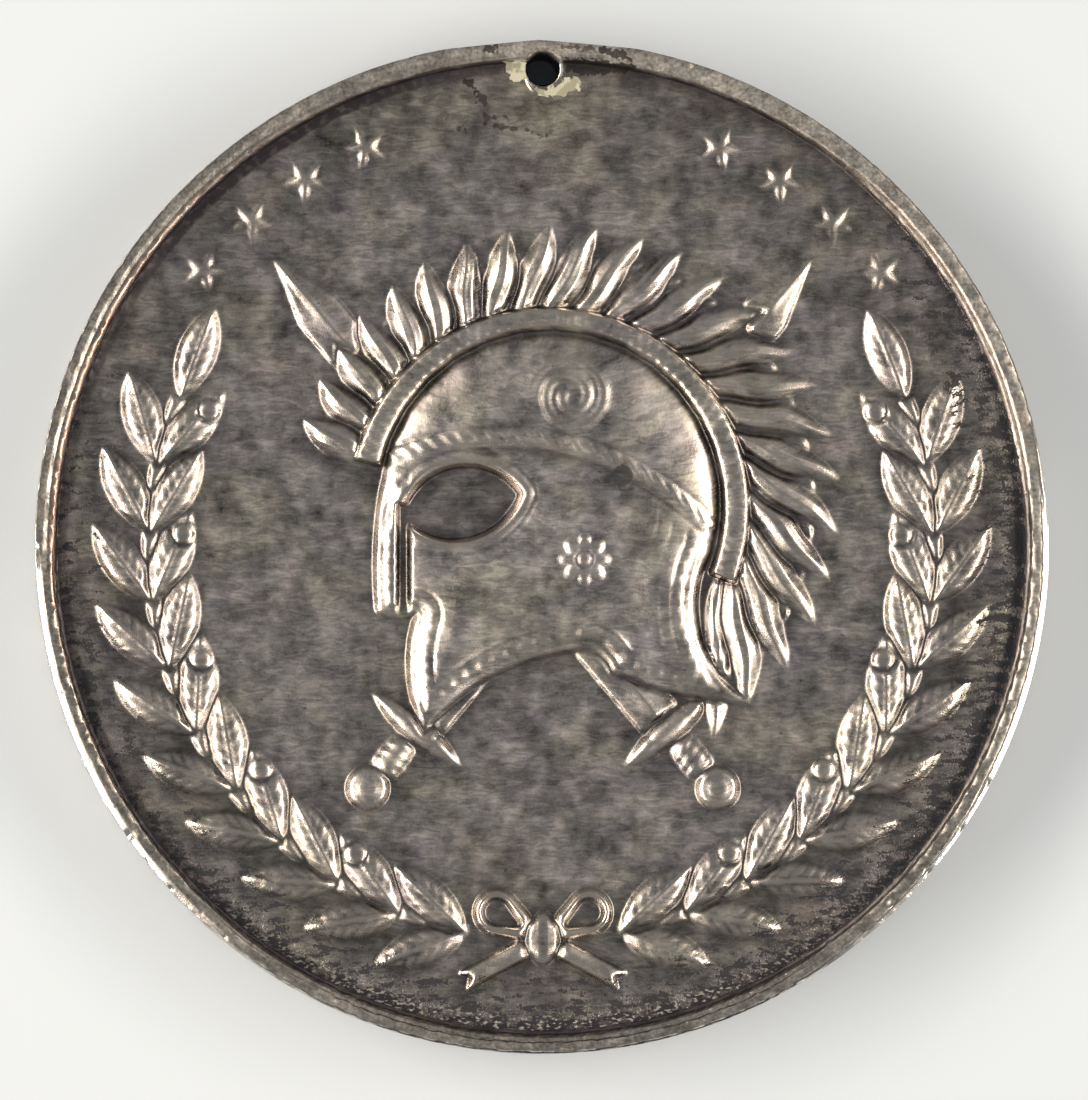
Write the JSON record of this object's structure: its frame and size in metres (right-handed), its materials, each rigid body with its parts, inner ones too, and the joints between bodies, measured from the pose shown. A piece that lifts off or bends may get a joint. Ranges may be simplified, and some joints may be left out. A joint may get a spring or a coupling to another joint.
{
  "type": "war medal",
  "caption": "Round struck silver war medal with a raised rim, a trophy in raised relief on its front, a plain back and a hole drilled through the top.",
  "frame": {"origin": "middle of the round outline, on the plane of the back rim's flat that the medal lies on", "axes": "+Z out of the front face, which has the relief; +Y towards the drilled hole; +X to the right as the front is seen"},
  "size_m": [0.036, 0.036, 0.0038],
  "materials": {
    "toned_silver": "tarnished silver, dark grey-brown in the field and bright where handling has worn the edges"
  },
  "bodies": {
    "root": {"medal": "toned_silver"}
  },
  "joints": []
}
